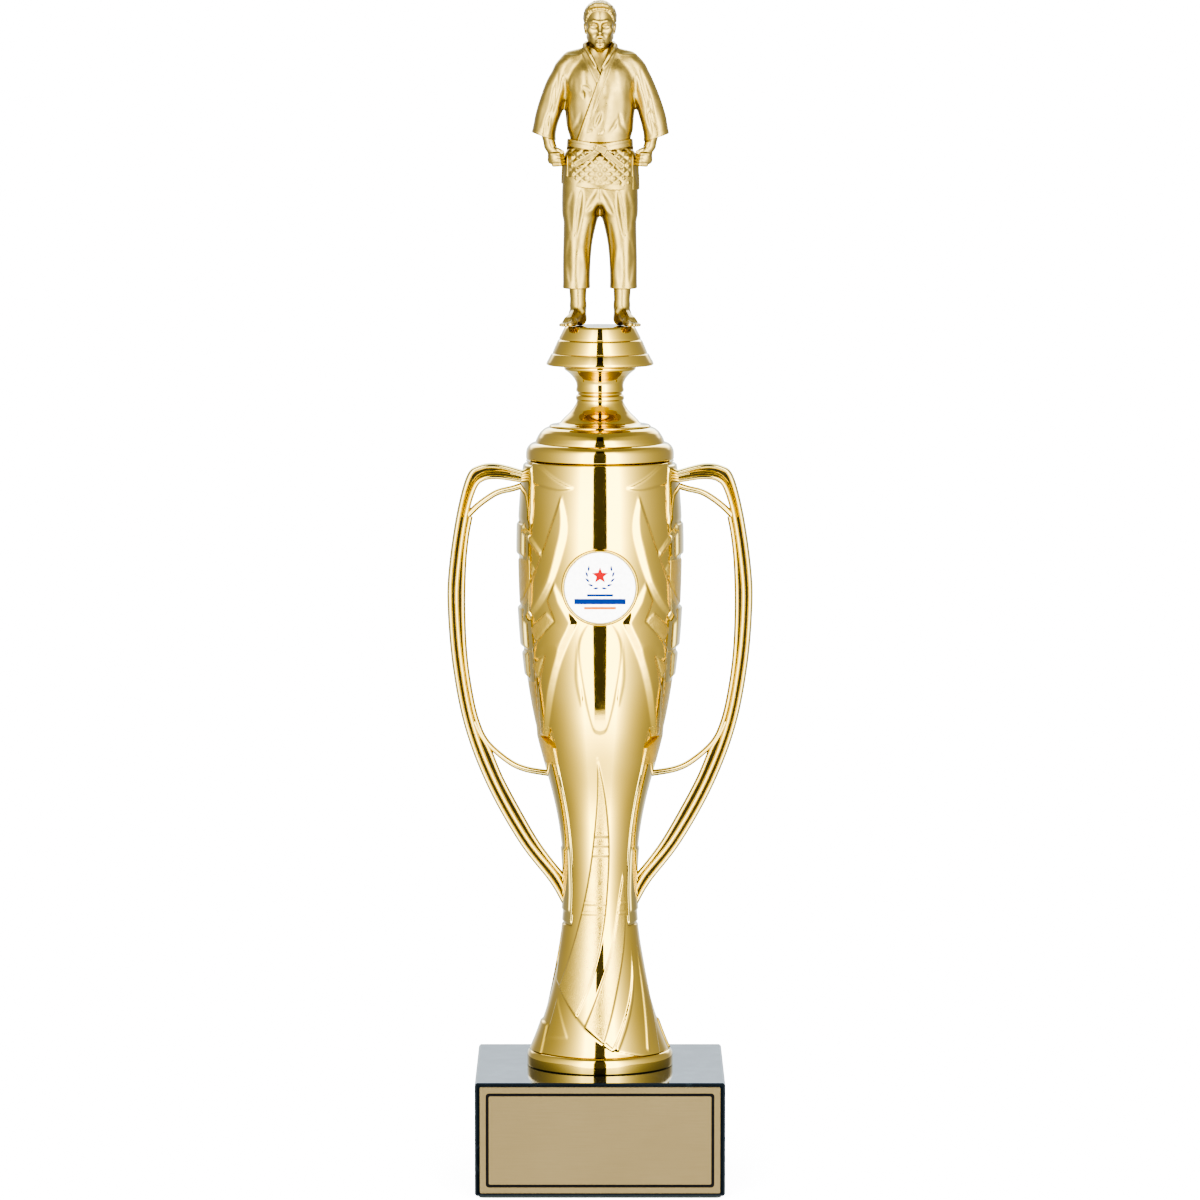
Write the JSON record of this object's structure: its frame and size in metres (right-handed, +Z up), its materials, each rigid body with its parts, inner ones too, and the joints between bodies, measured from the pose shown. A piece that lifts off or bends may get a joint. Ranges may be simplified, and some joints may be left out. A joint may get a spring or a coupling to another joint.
{
  "type": "cup trophy",
  "caption": "Tall gold trophy cup with openwork side handles, a front medallion, a stone block with a name plate, and a lift-off lid carrying a standing judo figure.",
  "frame": {"origin": "centre of the underside of the base, on the surface the trophy stands on", "axes": "+Z up through the cup to the figure's head; the medallion and the name plate face -Y; the handles lie along X"},
  "size_m": [0.108, 0.085, 0.4189],
  "materials": {
    "gold_plastic": "vacuum-metallised mirror gold",
    "satin_gold_plastic": "metallised satin gold",
    "stone": "polished near-black marble",
    "felt": "short felt",
    "plate_gold": "satin gold anodised",
    "medal_white": "gloss white with a printed emblem",
    "tape": "double-sided adhesive tape",
    "steel": "zinc-plated"
  },
  "bodies": {
    "trophy": {"base_felt": "felt", "base_block": "stone", "plate_tape": "tape", "name_plate": "plate_gold", "foot_ring": "gold_plastic", "cup_front_shell": "gold_plastic", "cup_back_shell": "gold_plastic", "handle_left": "gold_plastic", "handle_right": "gold_plastic", "medallion_holder": "gold_plastic", "medallion_tape": "tape", "medallion_disc": "medal_white", "tie_rod": "steel", "rod_bottom_washer": "steel", "rod_bottom_nut": "steel", "clamp_plate": "steel", "rod_top_washer": "steel", "rod_top_nut": "steel"},
    "lid": {"lid_dome": "gold_plastic", "lid_riser": "gold_plastic", "figure_base": "gold_plastic", "figure": "satin_gold_plastic", "lid_bolt": "steel", "lid_washer": "steel", "figure_nut": "steel"}
  },
  "joints": [
    {"name": "lid_lift", "type": "slide", "parent": "trophy", "child": "lid", "axis": [0, 0, 1], "range_m": [0, 0.06]}
  ]
}
